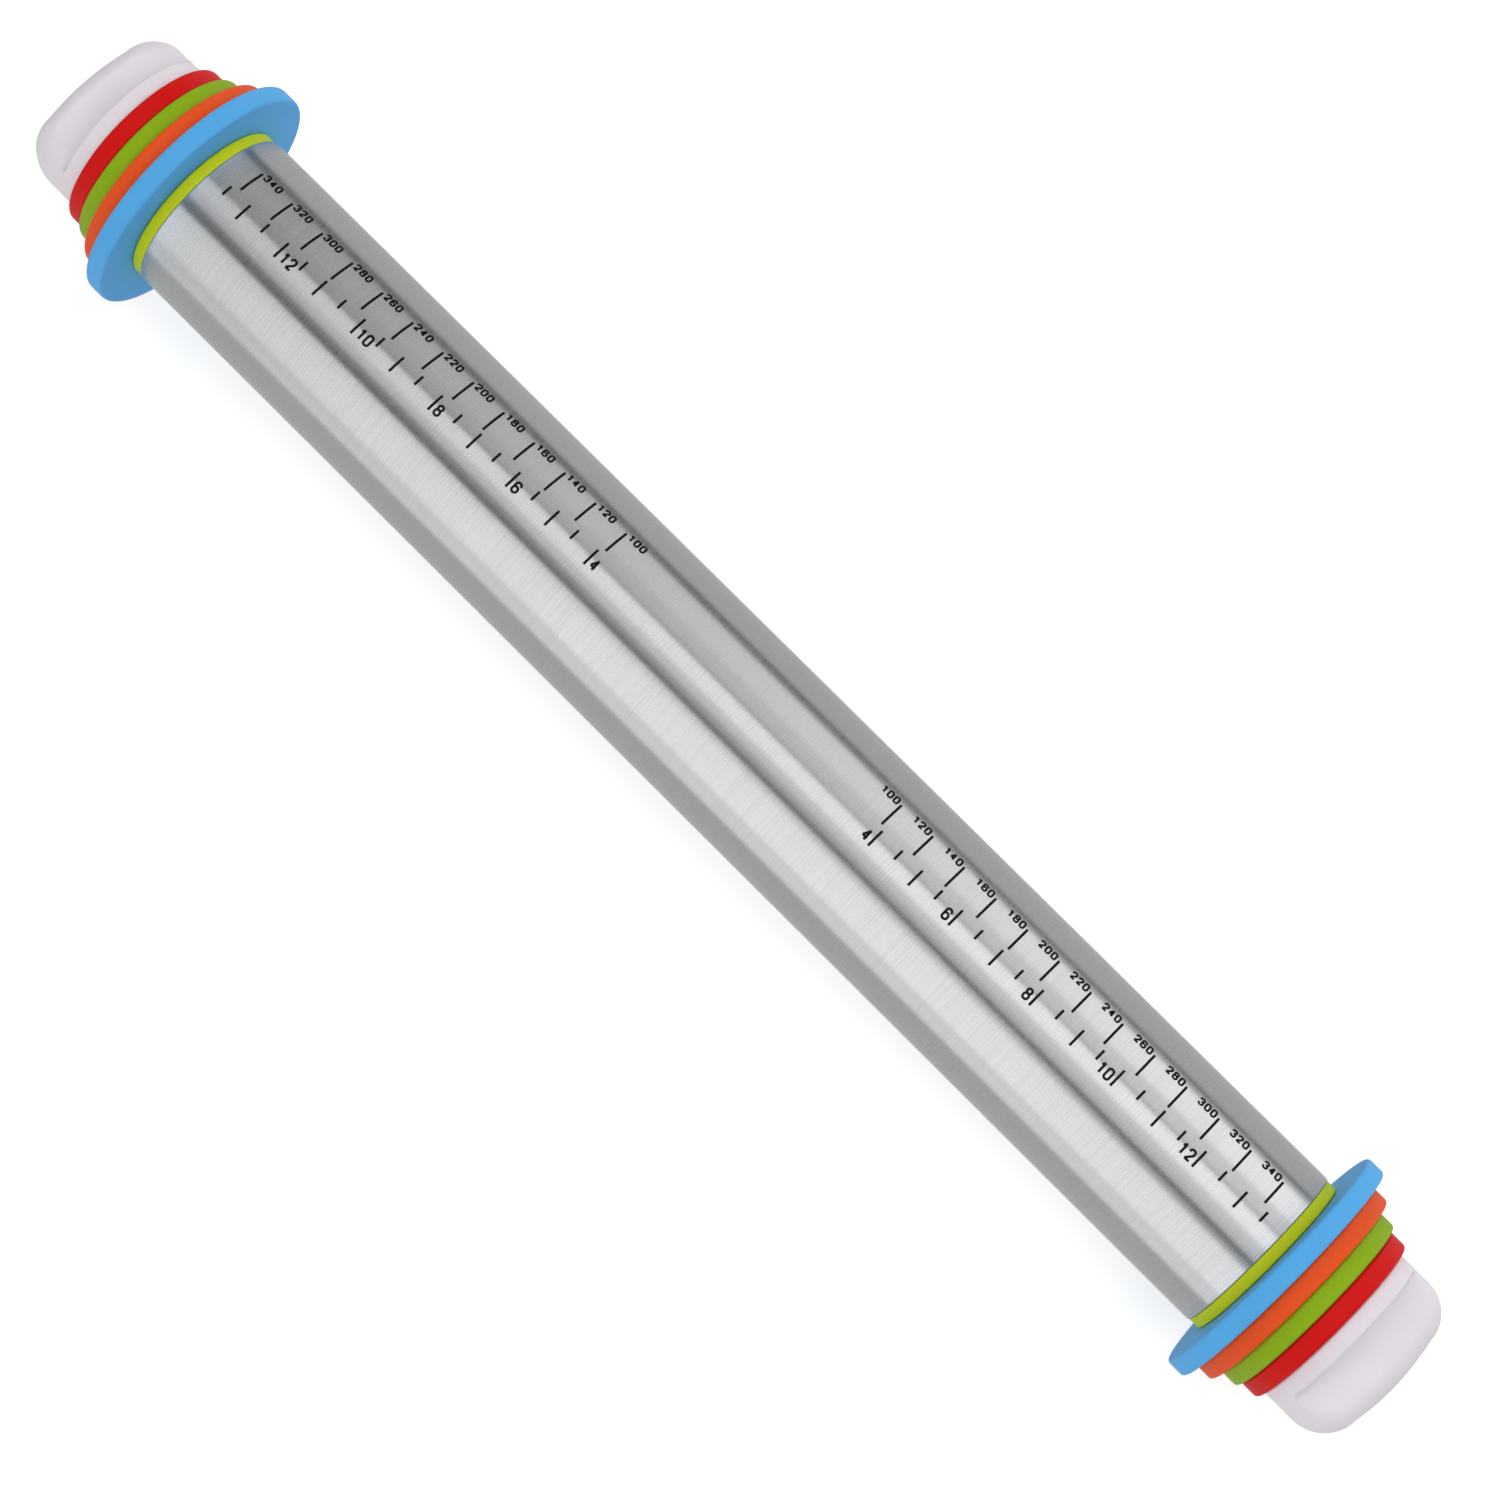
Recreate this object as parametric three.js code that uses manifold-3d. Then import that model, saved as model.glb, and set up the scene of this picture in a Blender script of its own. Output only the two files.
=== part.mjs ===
// Adjustable rolling pin: a steel roller tube, a plug in each of its ends, four spacer
// rings a side that set the thickness of the dough, and a screw-in handle that clamps them.
//
// Millimetres. +X runs along the pin, +Z is up. The origin lies under the middle of the
// pin, on the surface that the largest rings stand on.

import * as THREE from "three";
import { mergeVertices } from "three/addons/utils/BufferGeometryUtils.js";
import Module from "manifold-3d";

// Roller tube, drawn stainless steel.
const tubeDiameter = 45;
const tubeWall = 1;
const tubeLength = 344;

// End plug: a flange that closes the tube, a skirt in its bore and a threaded boss.
const capThickness = 3;
const capInset = 0.3;
const capEdge = 0.5;
const skirtClearance = 0.1;
const skirtLength = 20;
const skirtWall = 3.2;
const skirtLead = 0.8;
const bossWall = 2.5;
const bossEndWall = 2;
const socketRoom = 1;
const nutLength = 18;
const ribThickness = 1.6;
const ribLength = 15;
const ribCount = 6;

// Plug seal: a round cord of rubber in a groove of the skirt.
const sealCord = 2;
const sealSideGap = 0.25;
const sealFitGap = 0.05;
const sealSqueezeShare = 0.85;
const sealPlaceShare = 0.7;

// Spacer rings. Each colour stands its own distance proud of the roller, which is the
// thickness of the dough that it leaves. The first one sits against the plug.
const ringThickness = 4.9;
const ringEdge = 0.7;
const ringBoreGap = 0.3;
const blueProud = 10;
const orangeProud = 6;
const greenProud = 3;
const redProud = 1.6;
const ringSizes = [
  { name: "ring_10mm", proud: blueProud, colour: 0x4ba0e4 },
  { name: "ring_6mm", proud: orangeProud, colour: 0xee5f24 },
  { name: "ring_3mm", proud: greenProud, colour: 0x86ac22 },
  { name: "ring_2mm", proud: redProud, colour: 0xd21c1c },
];

// Handle: a round flange and a grip that is scooped on its two broad faces.
const handleDiameter = 44;
const flangeThickness = 4.5;
const gripLength = 15.5;
const gripCornerLength = 6;
const gripCornerDepth = 8.7;
const gripDome = 1.4;
const gripWaist = 17;
const gripTip = 20;
const scoopFillet = 2;
const handleEdge = 0.6;

// Stud: a hollow screw with a coarse thread and a six-sided root that is keyed in the handle.
const studDiameter = 18.8;
const studReach = 24;
const studBore = 9;
const studShoulder = 6;
const rootRadius = 12;
const rootThickness = 2.5;
const rootGap = 0.2;
const keyedSides = 6;
const threadPitch = 5;
const threadDepth = 1.5;
const threadGap = 0.3;
const threadCrestShare = 0.26;
const threadFlankShare = 0.1;

// Stud screw: holds the stud in the handle.
const screwDiameter = 4;
const screwLength = 18;
const screwHeadDiameter = 7.6;
const screwHeadHeight = 2.8;
const screwRecessDiameter = 3.4;
const screwRecessDepth = 1.6;
const screwGap = 0.15;

// Pieces that lie face to face are this far apart.
const stackGap = 0.1;
// Cuts run this far past the faces that they cut.
const overrun = 2;

// Steps round a turned piece, round a thread or small piece, round the seal's section and
// along a rounded outline. Corners lie half a step off the quarter points, flats on them.
// The flats are wide enough for the pin to stand still on a slope of 5 degrees.
const turnedSteps = 28;
const threadSteps = 16;
const sealCorners = 6;
const outlineSteps = 5;
const halfStepShare = 0.5;

// Places along the pin, measured outwards from the end of the tube.
const capFace = stackGap + capThickness;
const ringPitch = ringThickness + stackGap;
const handleFace = capFace + stackGap + ringSizes.length * ringPitch;
const handleLength = flangeThickness + gripLength;
const studTip = capFace - studReach;
// With all the rings left off, the stud goes in deeper by the length of their stack.
const socketEnd = studTip - (handleFace - capFace) - socketRoom;

// Radii about the pin's axis.
const tubeRadius = tubeDiameter / 2;
const skirtRadius = tubeRadius - tubeWall - skirtClearance;
const capRadius = tubeRadius - capInset;
const studRadius = studDiameter / 2;
const coreRadius = studRadius - threadDepth;
const bossRadius = studRadius + threadGap + bossWall;
const ringBore = studRadius + ringBoreGap;
const handleRadius = handleDiameter / 2;

// The largest ring stands on one of its flats, so the axis is one flat's distance up.
const largestProud = Math.max(...ringSizes.map((ring) => ring.proud));
const flatShare = Math.cos(Math.PI / turnedSteps);
const axisHeight = (tubeRadius + largestProud) * flatShare;

// Both grips stand turned by one flat, as they do in the photo, with their far side down.
const endTurn = -(2 * Math.PI) / turnedSteps;

// The groove for the seal lies towards the skirt's inner end, and is shallower than the
// cord, which the tube squeezes.
const sealPlace = stackGap - skirtLength * sealPlaceShare;
const sealHeight = sealCord * sealSqueezeShare;
const grooveHalf = sealCord / 2 + sealSideGap;
const grooveBottom = tubeRadius - tubeWall - sealHeight;

// The screw's head sits on the shoulder in the stud. Both are measured from the handle's
// inner face.
const screwSeat = -studShoulder - stackGap;
const screwTip = screwSeat + screwLength;

const wasm = await Module();
wasm.setup();

// A closed geometry as a solid that can be joined and cut.
function solidOf(geometry) {
  const bare = geometry.clone();
  bare.deleteAttribute("normal");
  bare.deleteAttribute("uv");
  const merged = mergeVertices(bare);
  const corners = merged.index.array;
  const triangles = [];
  for (let i = 0; i < corners.length; i += 3) {
    const [a, b, c] = corners.subarray(i, i + 3);
    if (a !== b && b !== c && c !== a) triangles.push(a, b, c);
  }
  return new wasm.Manifold(
    new wasm.Mesh({
      numProp: 3,
      vertProperties: merged.getAttribute("position").array,
      triVerts: new Uint32Array(triangles),
    }),
  );
}

// A geometry of flat triangles from its corners' places and its triangles' corners.
function geometryFrom(places, triangles) {
  const geometry = new THREE.BufferGeometry();
  geometry.setAttribute("position", new THREE.BufferAttribute(places, 3));
  geometry.setIndex(new THREE.BufferAttribute(triangles, 1));
  const flat = geometry.toNonIndexed();
  flat.computeVertexNormals();
  return flat;
}

// A solid as a geometry again.
function geometryOf(solid) {
  const mesh = solid.getMesh();
  return geometryFrom(mesh.vertProperties, mesh.triVerts);
}

// Turns an outline about the X axis. Its points are [place along the axis, radius], and go
// round the solid so that its outer wall is passed in the way of the axis. A flat, not an
// edge, faces straight down.
function turned(outline, steps = turnedSteps) {
  const points = outline.map(([along, radius]) => new THREE.Vector2(radius, along));
  const start = (halfStepShare / steps) * 2 * Math.PI;
  const geometry = new THREE.LatheGeometry(points, steps, start);
  // The last meridian is the first one again, to the last digit.
  const meridian = points.length * 3;
  geometry.getAttribute("position").array.copyWithin(steps * meridian, 0, meridian);
  return geometry.rotateZ(-Math.PI / 2);
}

// A bar on the X axis between two places.
function bar(from, to, radius, steps = threadSteps) {
  return turned([[from, 0], [from, radius], [to, radius], [to, 0]], steps);
}

// A six-sided bar on the X axis between two places.
function keyedBar(from, to, radius) {
  return bar(from, to, radius, keyedSides);
}

// A bar with the screw thread on it, right-handed about the X axis, from near one place to
// near another, with its whole surface moved out by a gap. One turn's outline, foot to
// crest to foot, is carried round the axis while it climbs a pitch a turn, and the far
// foot of each turn meets the near foot of the next.
function threadedBar(from, to, gap) {
  const halfCrest = (threadCrestShare * threadPitch) / 2 + gap;
  const halfFoot = halfCrest + threadFlankShare * threadPitch;
  const core = coreRadius + gap;
  const crest = studRadius + gap;
  const outline = [[-halfFoot, core], [-halfCrest, crest], [halfCrest, crest], [halfFoot, core]];
  const firstStep = Math.floor((from / threadPitch) * threadSteps);
  const rows = Math.ceil((to / threadPitch) * threadSteps) - firstStep;
  const turnsAt = (row) => (firstStep + row + halfStepShare) / threadSteps;
  const places = [];
  for (let row = 0; row <= rows; row++) {
    const angle = turnsAt(row) * 2 * Math.PI;
    for (const [along, radius] of outline) {
      places.push(turnsAt(row) * threadPitch + along);
      places.push(radius * Math.cos(angle), radius * Math.sin(angle));
    }
  }
  const at = (row, corner) => row * outline.length + corner;
  const far = outline.length - 1;
  const triangles = [];
  const strip = (a, b, c, d) => triangles.push(a, c, b, b, c, d);
  for (let row = 0; row < rows; row++) {
    for (let corner = 0; corner < far; corner++) {
      strip(at(row, corner), at(row, corner + 1), at(row + 1, corner), at(row + 1, corner + 1));
    }
    const next = row + threadSteps;
    if (next < rows) strip(at(row, far), at(next, 0), at(row + 1, far), at(next + 1, 0));
  }
  // Each end is closed by a fan about a point on the axis, half a pitch in from the rim.
  const fan = (middleRow, rim) => {
    const middle = places.length / 3;
    places.push(turnsAt(middleRow) * threadPitch, 0, 0);
    rim.forEach((corner, i) => triangles.push(middle, rim[(i + 1) % rim.length], corner));
  };
  const turn = Array.from({ length: threadSteps + 1 }, (_, i) => i);
  fan(threadSteps / 2, [...turn.map((i) => at(i, 0)), at(0, 3), at(0, 2), at(0, 1)]);
  fan(rows - threadSteps / 2, [
    at(rows, 0), at(rows, 1), at(rows, 2), ...turn.map((i) => at(rows - i, far)),
  ]);
  return geometryFrom(new Float32Array(places), new Uint32Array(triangles));
}

function makeTube() {
  const bore = tubeRadius - tubeWall;
  const half = tubeLength / 2;
  return turned([[-half, bore], [-half, tubeRadius], [half, tubeRadius], [half, bore], [-half, bore]]);
}

function makePlug() {
  const back = stackGap - skirtLength;
  const skirtInner = skirtRadius - skirtWall;
  const body = turned([
    [socketEnd - bossEndWall, 0],
    [socketEnd - bossEndWall, bossRadius],
    [stackGap, bossRadius],
    [stackGap, skirtInner],
    [back, skirtInner],
    [back, skirtRadius - skirtLead],
    [back + skirtLead, skirtRadius],
    [sealPlace - grooveHalf, skirtRadius],
    [sealPlace - grooveHalf, grooveBottom],
    [sealPlace + grooveHalf, grooveBottom],
    [sealPlace + grooveHalf, skirtRadius],
    [stackGap, skirtRadius],
    [stackGap, capRadius],
    [capFace - capEdge, capRadius],
    [capFace, capRadius - capEdge],
    [capFace, 0],
  ]);
  let plug = solidOf(body);
  // Ribs tie the boss to the skirt and the flange, and are rooted in all three.
  const root = bossWall / 2;
  const reach = skirtInner - bossRadius + 2 * root;
  for (let i = 0; i < ribCount; i++) {
    const rib = new THREE.BoxGeometry(ribLength + root, ribThickness, reach);
    rib.translate(stackGap + (root - ribLength) / 2, 0, (bossRadius + skirtInner) / 2);
    rib.rotateX((i / ribCount) * 2 * Math.PI);
    plug = plug.add(solidOf(rib));
  }
  // The thread is cut in the mouth of the socket, and the rest of the socket clears it.
  const nutEnd = capFace - nutLength;
  const thread = threadedBar(nutEnd - threadPitch, capFace + threadPitch, threadGap);
  const relief = bar(socketEnd, nutEnd, studRadius + 2 * threadGap);
  return geometryOf(plug.subtract(solidOf(thread)).subtract(solidOf(relief)));
}

function makeSeal() {
  const halfHeight = sealHeight / 2 - sealFitGap;
  const middle = grooveBottom + sealHeight / 2;
  const outline = [];
  for (let i = 0; i <= sealCorners; i++) {
    const angle = ((i % sealCorners) / sealCorners) * 2 * Math.PI;
    const along = sealPlace + (sealCord / 2) * Math.sin(angle);
    outline.push([along, middle + halfHeight * Math.cos(angle)]);
  }
  return turned(outline);
}

function makeRing(proud) {
  const radius = tubeRadius + proud;
  return turned([
    [0, ringBore],
    [0, radius - ringEdge],
    [ringEdge, radius],
    [ringThickness - ringEdge, radius],
    [ringThickness, radius - ringEdge],
    [ringThickness, ringBore],
    [0, ringBore],
  ]);
}

// The scoop over one broad face of the grip: it drops from the flange to the waist in a
// fillet and rises again to the tip, and runs right across the handle.
function scoop() {
  const shape = new THREE.Shape();
  const top = handleRadius + overrun;
  const end = handleLength + overrun;
  shape.moveTo(flangeThickness, top);
  shape.lineTo(flangeThickness, gripWaist / 2 + scoopFillet);
  shape.quadraticCurveTo(
    flangeThickness, gripWaist / 2,
    flangeThickness + scoopFillet, gripWaist / 2,
  );
  shape.quadraticCurveTo(
    flangeThickness + gripLength / 2, gripWaist / 2,
    handleLength, gripTip / 2,
  );
  shape.lineTo(end, gripTip / 2);
  shape.lineTo(end, top);
  const cut = new THREE.ExtrudeGeometry(shape, {
    depth: 2 * top,
    bevelEnabled: false,
    curveSegments: outlineSteps,
  });
  return cut.rotateX(Math.PI / 2).translate(0, top, 0);
}

// The handle is drawn from its inner face, where x is zero.
function makeHandle() {
  const outline = [[0, 0], [0, handleRadius - handleEdge], [handleEdge, handleRadius]];
  const cornerStart = handleLength - gripDome - gripCornerLength;
  for (let i = 0; i <= outlineSteps; i++) {
    const angle = (i / outlineSteps) * (Math.PI / 2);
    outline.push([
      cornerStart + gripCornerLength * Math.sin(angle),
      handleRadius - gripCornerDepth * (1 - Math.cos(angle)),
    ]);
  }
  const domeRadius = handleRadius - gripCornerDepth;
  for (let i = 1; i <= outlineSteps; i++) {
    const share = 1 - i / outlineSteps;
    outline.push([handleLength - gripDome * share * share, domeRadius * share]);
  }
  const cut = scoop();
  const pocket = keyedBar(-overrun, rootThickness + rootGap, rootRadius + rootGap);
  const hole = bar(0, screwTip + screwGap, screwDiameter / 2 + screwGap);
  const solid = solidOf(turned(outline))
    .subtract(solidOf(cut))
    .subtract(solidOf(cut.clone().rotateX(Math.PI)))
    .subtract(solidOf(pocket))
    .subtract(solidOf(hole));
  return geometryOf(solid);
}

// The stud and its screw are drawn from the end of the tube, as the plug is, so that the
// two threads are in step.
function makeStud() {
  const inRoot = handleFace + rootThickness / 2;
  const wide = studRadius + overrun;
  const envelope = turned([
    [studTip, 0],
    [studTip, coreRadius],
    [studTip + threadDepth + overrun, wide],
    [inRoot, wide],
    [inRoot, 0],
  ]);
  const thread = threadedBar(studTip - threadPitch, inRoot + threadPitch, 0);
  const root = keyedBar(handleFace, handleFace + rootThickness, rootRadius);
  const bore = bar(studTip - overrun, handleFace - studShoulder, studBore / 2);
  const hole = bar(studTip, handleFace + rootThickness + overrun, screwDiameter / 2 + screwGap);
  const solid = solidOf(thread)
    .intersect(solidOf(envelope))
    .add(solidOf(root))
    .subtract(solidOf(bore))
    .subtract(solidOf(hole));
  return geometryOf(solid);
}

function makeScrew() {
  const seat = handleFace + screwSeat;
  const top = seat - screwHeadHeight;
  const headRadius = screwHeadDiameter / 2;
  const shank = screwDiameter / 2;
  const end = handleFace + screwTip;
  const body = turned([
    [top, 0],
    [top, headRadius - shank / 2],
    [top + shank / 2, headRadius],
    [seat, headRadius],
    [seat, shank],
    [end - shank, shank],
    [end, 0],
  ], threadSteps);
  const recess = keyedBar(top - overrun, top + screwRecessDepth, screwRecessDiameter / 2);
  return geometryOf(solidOf(body).subtract(solidOf(recess)));
}

function addPiece(group, name, geometry, colour, roughness, metalness = 0) {
  const material = new THREE.MeshStandardMaterial({ color: colour, roughness, metalness });
  const piece = new THREE.Mesh(geometry, material);
  piece.name = name;
  group.add(piece);
  return piece;
}

// One end of the pin, drawn with its own x axis pointing outwards.
function makeEnd(side) {
  const end = new THREE.Group();
  addPiece(end, `end_plug_${side}`, makePlug(), 0xa5c31e, 0.45);
  addPiece(end, `plug_seal_${side}`, makeSeal(), 0x2c2c2e, 0.7);
  ringSizes.forEach((ring, i) => {
    const piece = addPiece(end, `${ring.name}_${side}`, makeRing(ring.proud), ring.colour, 0.5);
    piece.position.x = capFace + stackGap + i * ringPitch;
  });
  const handle = addPiece(end, `handle_${side}`, makeHandle(), 0xe4dee4, 0.4);
  handle.position.x = handleFace;
  addPiece(end, `stud_${side}`, makeStud(), 0xe9e7e4, 0.45);
  addPiece(end, `stud_screw_${side}`, makeScrew(), 0xb8babd, 0.35, 1);
  return end;
}

const pin = new THREE.Group();
pin.position.z = axisHeight;
addPiece(pin, "roller_tube", makeTube(), 0xb9bbbd, 0.32, 1);

const rightEnd = makeEnd("right");
rightEnd.position.x = tubeLength / 2;
rightEnd.rotation.x = endTurn;
pin.add(rightEnd);

const leftEnd = makeEnd("left");
leftEnd.position.x = -tubeLength / 2;
leftEnd.rotation.set(endTurn, 0, Math.PI);
pin.add(leftEnd);

const rollingPin = new THREE.Group();
rollingPin.add(pin);

export default rollingPin;
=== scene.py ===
# %% [markdown]
# # An adjustable rolling pin
#
# The pin is a steel tube with a lime green plug in each end. A white handle screws into
# each plug and clamps four spacer rings. The rings are larger than the tube and run on
# the worktop, so they set how thick the dough comes out.
#
# The construction model that is loaded here has the real sizes, but its round pieces are
# cut from flats. This notebook gives each piece a fine surface that is worked out with
# numpy, then a finish, and at the end light and a camera. Units are metres, +X runs
# along the pin and +Z is up.

# %% Load the construction model
import math

import bmesh
import bpy
import numpy as np
from mathutils import Matrix, Vector


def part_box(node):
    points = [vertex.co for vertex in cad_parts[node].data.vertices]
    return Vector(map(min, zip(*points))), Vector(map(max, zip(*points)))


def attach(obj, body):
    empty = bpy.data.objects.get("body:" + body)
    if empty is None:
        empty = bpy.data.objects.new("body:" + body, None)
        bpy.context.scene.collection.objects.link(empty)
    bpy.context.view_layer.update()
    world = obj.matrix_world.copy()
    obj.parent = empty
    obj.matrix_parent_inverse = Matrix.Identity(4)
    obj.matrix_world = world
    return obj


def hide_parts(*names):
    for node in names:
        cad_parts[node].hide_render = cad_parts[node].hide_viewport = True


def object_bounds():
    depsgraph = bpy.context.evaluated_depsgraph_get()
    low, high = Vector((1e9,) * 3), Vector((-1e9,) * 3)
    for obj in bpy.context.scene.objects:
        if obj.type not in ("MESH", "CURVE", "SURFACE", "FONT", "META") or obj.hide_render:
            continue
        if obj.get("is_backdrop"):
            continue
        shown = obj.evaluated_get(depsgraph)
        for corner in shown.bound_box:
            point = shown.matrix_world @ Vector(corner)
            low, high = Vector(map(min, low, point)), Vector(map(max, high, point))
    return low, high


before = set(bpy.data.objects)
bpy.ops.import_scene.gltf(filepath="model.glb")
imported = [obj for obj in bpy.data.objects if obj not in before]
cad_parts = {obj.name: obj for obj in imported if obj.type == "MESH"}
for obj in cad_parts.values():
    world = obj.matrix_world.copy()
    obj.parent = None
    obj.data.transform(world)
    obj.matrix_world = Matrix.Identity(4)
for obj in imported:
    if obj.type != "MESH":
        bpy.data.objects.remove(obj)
cad_low, cad_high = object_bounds()
print("pieces in the model:", len(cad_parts))
print("size in mm:", [round((b - a) * 1000, 1) for a, b in zip(cad_low, cad_high)])

# %% [markdown]
# ## Sizes
#
# Each fine surface has to lie where its plain one does, so the main sizes are read from
# the model's boxes. A turned piece of the model has 28 flats whose corners lie on the
# real circle, so the real radius is half of the box's height over the cosine of half a
# flat. Sizes are kept in millimetres until a mesh is placed, because they are easier to
# read and to check that way.

# %% Read the main sizes
MM = 0.001
FLATS = 28
SIDES = ("left", "right")

tube_low, tube_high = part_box("roller_tube")
TUBE_END = tube_high.x / MM
AXIS_HEIGHT = (tube_low.z + tube_high.z) / 2 / MM


def radius_of(node):
    """The real radius of a turned node: half its box's height, out to a flat's corner."""
    low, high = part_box(node)
    return (high.z - low.z) / 2 / math.cos(math.pi / FLATS) / MM


def span_of(node):
    """Where a node of the right end starts and stops, outwards from the tube's end."""
    low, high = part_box(node)
    return low.x / MM - TUBE_END, high.x / MM - TUBE_END


TUBE_RADIUS = radius_of("roller_tube")
print(f"tube: radius {TUBE_RADIUS:.2f}, half length {TUBE_END:.2f}, axis {AXIS_HEIGHT:.2f} up")

# %% [markdown]
# ## Finishes
#
# Every finish is a Principled shader with a little noise in its colour, its roughness
# and its relief, because a surface without any reads as computer-made. The noise reads
# Object coordinates, which are metres on the piece, so one over a length in metres is
# the scale that gives features of that length. Colours are written as sRGB hex values,
# the way that they are picked from a picture, and turned to linear light here. Inputs
# are named, but a Mix node has several of one name: 0 is its factor, 6 and 7 are its
# two colours.

# %% Helpers for finishes
def linear(colour):
    """An sRGB hex colour as linear red, green, blue and alpha."""
    share = np.array([int(colour[i:i + 2], 16) for i in (1, 3, 5)]) / 255
    light = np.where(share <= 0.04045, share / 12.92, ((share + 0.055) / 1.055) ** 2.4)
    return (*light, 1)


def add_node(tree, kind, sockets=(), **settings):
    """Adds a node. sockets maps an input to a value or to the output that feeds it."""
    node = tree.nodes.new(kind)
    for name, value in settings.items():
        setattr(node, name, value)
    for key, value in dict(sockets).items():
        if isinstance(value, bpy.types.NodeSocket):
            tree.links.new(value, node.inputs[key])
        else:
            node.inputs[key].default_value = value
    return node


def new_finish(name, **sockets):
    """A material, its node tree and its Principled shader with these sockets set."""
    material = bpy.data.materials.new(name)
    material.use_nodes = True
    tree = material.node_tree
    shader = tree.nodes["Principled BSDF"]
    for socket, value in sockets.items():
        shader.inputs[socket.replace("_", " ")].default_value = value
    return material, tree, shader


def shades(colour, spread):
    """A darker and a lighter shade of a colour, each off by the share spread."""
    return [(*(c * (1 + change) for c in colour[:3]), 1) for change in (-spread, spread)]


print("the grey #808080 is", round(linear("#808080")[0], 3), "in linear light")

# %% [markdown]
# ### Brushed stainless steel
#
# The tube is drawn from stainless steel and brushed while it spins, so its scratches run
# round it. Such scratches spread a reflection along the tube and keep it sharp round the
# tube, which draws the lamps as long even bands. A bump map alone would need scratches
# of a few microns, finer than a pixel, so the spread comes from the shader's anisotropy,
# with its tangent turned from round the tube to along it. The noise on top is stretched
# round the tube and adds the streaks that the eye can see, drawn as coarse as they need
# to be to show.

# %% Brushed stainless steel
STEEL_COLOUR = linear("#D2D3D4")
STEEL_TONE = 0.015
STEEL_ROUGHNESS = (0.245, 0.305)
STEEL_RELIEF = 0.0019 * MM
STREAK_WIDTH = 0.35 * MM
FINE_STREAK_WIDTH = 0.12 * MM
STREAK_LENGTH = 30 * MM
QUARTER_TURN = 0.25
# Nearly all of the noise lies between these values.
NOISE_LOW, NOISE_HIGH = 0.3, 0.7


def streaks(tree, where, width):
    """Noise with this width along the tube, drawn out to a streak's length round it."""
    stretch = (1 / width, 1 / STREAK_LENGTH, 1 / STREAK_LENGTH)
    places = add_node(tree, "ShaderNodeMapping", {"Vector": where, "Scale": stretch})
    sockets = {"Vector": places.outputs[0], "Scale": 1, "Detail": 3, "Roughness": 0.6}
    return add_node(tree, "ShaderNodeTexNoise", sockets).outputs["Fac"]


def brushed_steel():
    """Stainless steel, brushed round the X axis."""
    steel, tree, shader = new_finish(
        "brushed_stainless_steel", Metallic=1, Anisotropic=0.9, Anisotropic_Rotation=QUARTER_TURN
    )
    where = add_node(tree, "ShaderNodeTexCoord").outputs["Object"]
    round_axis = add_node(tree, "ShaderNodeTangent", direction_type="RADIAL", axis="X")
    tree.links.new(round_axis.outputs[0], shader.inputs["Tangent"])
    wide = streaks(tree, where, STREAK_WIDTH)
    fine = streaks(tree, where, FINE_STREAK_WIDTH)
    dark, light = shades(STEEL_COLOUR, STEEL_TONE)
    paint = add_node(tree, "ShaderNodeMix", {0: wide, 6: dark, 7: light}, data_type="RGBA")
    tree.links.new(paint.outputs[2], shader.inputs["Base Color"])
    low, high = STEEL_ROUGHNESS
    sockets = {"Value": wide, "From Min": NOISE_LOW, "From Max": NOISE_HIGH}
    sockets |= {"To Min": low, "To Max": high}
    brushing = add_node(tree, "ShaderNodeMapRange", sockets)
    tree.links.new(brushing.outputs[0], shader.inputs["Roughness"])
    relief = add_node(tree, "ShaderNodeBump", {"Height": fine, "Distance": STEEL_RELIEF})
    tree.links.new(relief.outputs[0], shader.inputs["Normal"])
    return steel


STEEL = brushed_steel()
print("made", STEEL.name)

# %% [markdown]
# ### Moulded plastic
#
# The rings, plugs and handles are injection-moulded. The steel mould is sparked to a
# fine matt grain of about a fifth of a millimetre, which softens the highlights, and the
# melt leaves slow clouds of slightly different tone. ABS and polypropylene have an index
# of refraction near 1.5. The white plastic lets a little light in, which fills its
# shadows.

# %% Moulded plastic
GRAIN = 0.22 * MM
GRAIN_RELIEF = 0.012 * MM
CLOUD = 9 * MM
CLOUD_TONE = 0.035
CLOUD_ROUGHNESS = 0.05
SHEEN = 0.12
GLOW_DEPTH = 1.5 * MM


def moulded_plastic(name, colour, roughness, glow=0.0):
    """Satin moulded plastic; glow is the share of light that goes in and comes out again."""
    plastic, tree, shader = new_finish(
        name, IOR=1.5, Specular_IOR_Level=SHEEN, Subsurface_Weight=glow,
        Subsurface_Radius=(1, 1, 1), Subsurface_Scale=GLOW_DEPTH,
    )
    where = add_node(tree, "ShaderNodeTexCoord").outputs["Object"]
    sockets = {"Vector": where, "Scale": 1 / CLOUD, "Detail": 2}
    cloud = add_node(tree, "ShaderNodeTexNoise", sockets).outputs["Fac"]
    sockets = {"Vector": where, "Scale": 1 / GRAIN, "Detail": 1}
    grain = add_node(tree, "ShaderNodeTexNoise", sockets).outputs["Fac"]
    dark, light = shades(linear(colour), CLOUD_TONE)
    paint = add_node(tree, "ShaderNodeMix", {0: cloud, 6: dark, 7: light}, data_type="RGBA")
    tree.links.new(paint.outputs[2], shader.inputs["Base Color"])
    low, high = roughness - CLOUD_ROUGHNESS, roughness + CLOUD_ROUGHNESS
    sockets = {"Value": cloud, "To Min": low, "To Max": high}
    satin = add_node(tree, "ShaderNodeMapRange", sockets)
    tree.links.new(satin.outputs[0], shader.inputs["Roughness"])
    relief = add_node(tree, "ShaderNodeBump", {"Height": grain, "Distance": GRAIN_RELIEF})
    tree.links.new(relief.outputs[0], shader.inputs["Normal"])
    return plastic


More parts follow.
